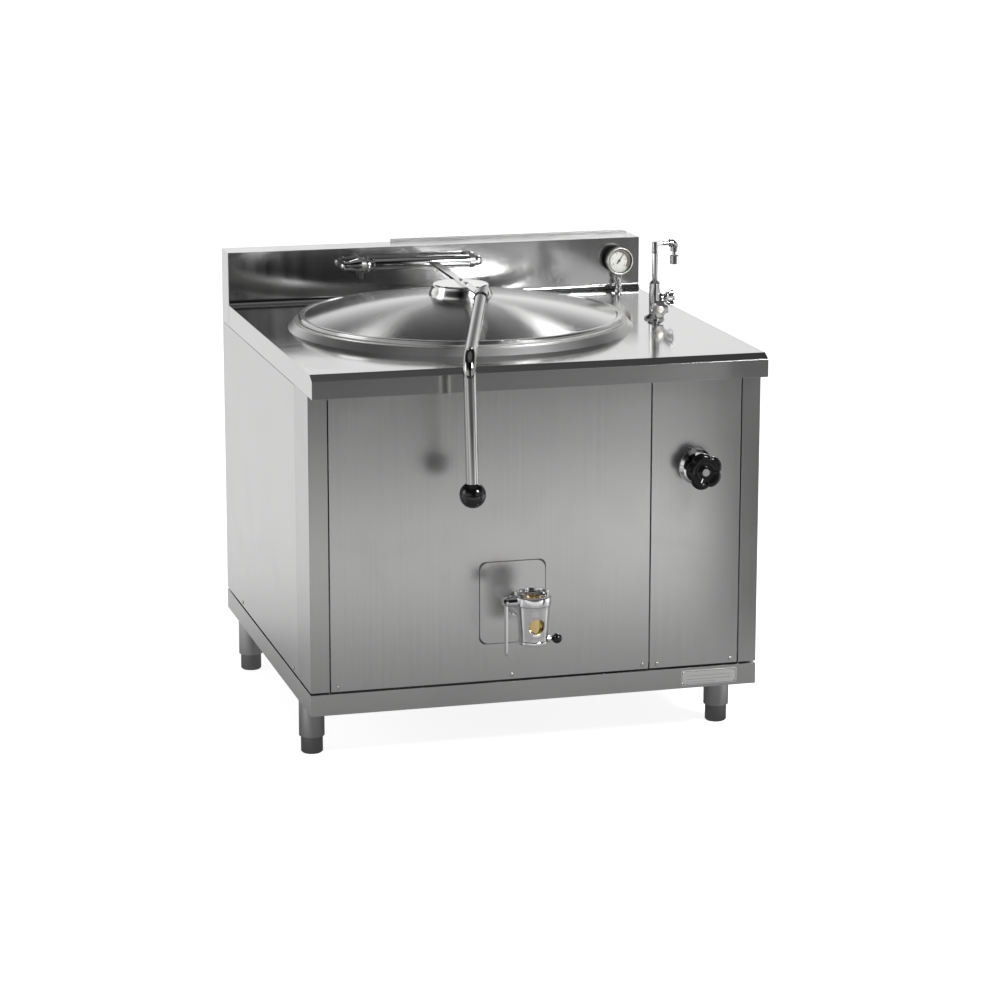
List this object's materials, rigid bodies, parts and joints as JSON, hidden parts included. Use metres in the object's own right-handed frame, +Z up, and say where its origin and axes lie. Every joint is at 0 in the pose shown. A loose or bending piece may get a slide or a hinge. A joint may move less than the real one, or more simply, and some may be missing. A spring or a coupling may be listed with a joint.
{
  "type": "steam jacketed kettle",
  "caption": "Square stainless kettle cabinet on adjustable feet with a round jacketed pan, spring-balanced domed lid with a bent lever, drain tap, steam valve, gauge and water mixer.",
  "frame": {"origin": "centre of the whole object's footprint, on the floor under the feet", "axes": "+Z up, +Y from the front (lever, drain tap) to the back (backsplash, pipe stubs), +X to the right seen from the front"},
  "size_m": [1.0036, 1.162, 1.046],
  "materials": {
    "steel_sheet": "brushed stainless sheet",
    "polished_steel": "polished stainless sheet",
    "steel_pipe": "stainless pipe",
    "chrome": "bright chrome",
    "brass": "turned brass",
    "copper": "copper tube",
    "black_plastic": "glossy black phenolic",
    "rubber": "silicone",
    "dial_face": "printed cream face",
    "pointer": "black paint",
    "glass": "clear"
  },
  "bodies": {
    "cabinet": {"back_panel": "steel_sheet", "backsplash": "polished_steel", "backsplash_strip": "polished_steel", "base_rails": "steel_sheet", "condensate_pipe": "steel_pipe", "corner_post_left": "steel_sheet", "corner_post_right": "steel_sheet", "drain_cover_plate": "polished_steel", "drain_pipe": "steel_pipe", "drain_tap_body": "chrome", "front_panel": "steel_sheet", "gauge_case": "chrome", "gauge_dial": "dial_face", "gauge_lens": "glass", "gauge_stem": "chrome", "gauge_tube": "copper", "hinge_bracket_left": "steel_sheet", "hinge_bracket_right": "steel_sheet", "hinge_shaft": "chrome", "inner_struts": "steel_sheet", "inner_vessel": "polished_steel", "jacket_steam_pipe": "steel_pipe", "leg_tubes": "steel_sheet", "panel_screws": "chrome", "service_panel": "steel_sheet", "side_panel_left": "steel_sheet", "side_panel_right": "steel_sheet", "spring_hub": "chrome", "steam_inlet_pipe": "steel_pipe", "steam_jacket": "steel_sheet", "steam_valve_body": "brass", "torsion_spring": "steel_sheet", "valve_rosette": "chrome", "vessel_collar": "polished_steel", "vessel_support": "steel_sheet", "water_pipes": "copper", "water_tap_body": "chrome", "worktop": "polished_steel"},
    "lid": {"hinge_tube": "chrome", "lid_arm": "polished_steel", "lid_shell": "polished_steel", "lid_gasket": "rubber", "lid_cap": "chrome", "lid_screws": "chrome", "lid_lever": "chrome", "handle_ball": "black_plastic"},
    "gauge_needle": {"gauge_pointer": "pointer"},
    "handwheel": {"steam_handwheel": "black_plastic", "valve_spindle": "steel_pipe"},
    "steam_plug": {"valve_plug": "brass"},
    "cold_handle": {"water_handle_cold": "chrome"},
    "hot_handle": {"water_handle_hot": "chrome"},
    "spout": {"water_spout": "chrome"},
    "drain_handle": {"drain_lever": "chrome"},
    "drain_piston": {"drain_plug": "brass"},
    "lock_pin": {"drain_lock": "black_plastic"},
    "foot_fl": {"foot_front_left": "chrome"},
    "foot_fr": {"foot_front_right": "chrome"},
    "foot_rl": {"foot_rear_left": "chrome"},
    "foot_rr": {"foot_rear_right": "chrome"}
  },
  "joints": [
    {"name": "lid_hinge", "type": "hinge", "parent": "cabinet", "child": "lid", "pos_m": [-0.055, 0.439, 0.952], "axis": [-1, 0, 0], "range_deg": [0, 80], "stiffness_Nm_per_rad": 9, "springref_deg": 148.97},
    {"name": "gauge_needle_turn", "type": "hinge", "parent": "cabinet", "child": "gauge_needle", "pos_m": [0.4415, 0.447, 0.937], "axis": [0, 1, 0], "range_deg": [-170, 100]},
    {"name": "handwheel_turn", "type": "hinge", "parent": "cabinet", "child": "handwheel", "pos_m": [0.3565, -0.399, 0.6165], "axis": [0, -1, 0], "range_deg": [0, 900]},
    {"name": "steam_plug_slide", "type": "slide", "parent": "cabinet", "child": "steam_plug", "axis": [0, -1, 0], "range_m": [0, 0.0091]},
    {"name": "cold_handle_turn", "type": "hinge", "parent": "cabinet", "child": "cold_handle", "pos_m": [0.421, 0.043, 0.912], "axis": [-1, 0, 0], "range_deg": [0, 90]},
    {"name": "hot_handle_turn", "type": "hinge", "parent": "cabinet", "child": "hot_handle", "pos_m": [0.401, 0.023, 0.893], "axis": [0, -1, 0], "range_deg": [0, 90]},
    {"name": "spout_swivel", "type": "hinge", "parent": "cabinet", "child": "spout", "pos_m": [0.401, 0.043, 1.037], "axis": [0, 0, 1], "range_deg": [-180, 180]},
    {"name": "drain_handle_turn", "type": "hinge", "parent": "cabinet", "child": "drain_handle", "pos_m": [-0.1, -0.529, 0.378], "axis": [-1, 0, 0], "range_deg": [0, 120]},
    {"name": "drain_piston_lift", "type": "slide", "parent": "cabinet", "child": "drain_piston", "axis": [0, 0, 1], "range_m": [0, 0.02272]},
    {"name": "lock_pin_pull", "type": "slide", "parent": "cabinet", "child": "lock_pin", "axis": [1, 0, 0], "range_m": [0, 0.008]},
    {"name": "foot_fl_height", "type": "slide", "parent": "cabinet", "child": "foot_fl", "axis": [0, 0, -1], "range_m": [0, 0.03]},
    {"name": "foot_fr_height", "type": "slide", "parent": "cabinet", "child": "foot_fr", "axis": [0, 0, -1], "range_m": [0, 0.03]},
    {"name": "foot_rl_height", "type": "slide", "parent": "cabinet", "child": "foot_rl", "axis": [0, 0, -1], "range_m": [0, 0.03]},
    {"name": "foot_rr_height", "type": "slide", "parent": "cabinet", "child": "foot_rr", "axis": [0, 0, -1], "range_m": [0, 0.03]}
  ],
  "couplings": [
    {"joint": "steam_plug_slide", "follows": "handwheel_turn", "m_per_rad": 0.00057296},
    {"joint": "drain_piston_lift", "follows": "drain_handle_turn", "m_per_rad": 0.010751}
  ]
}
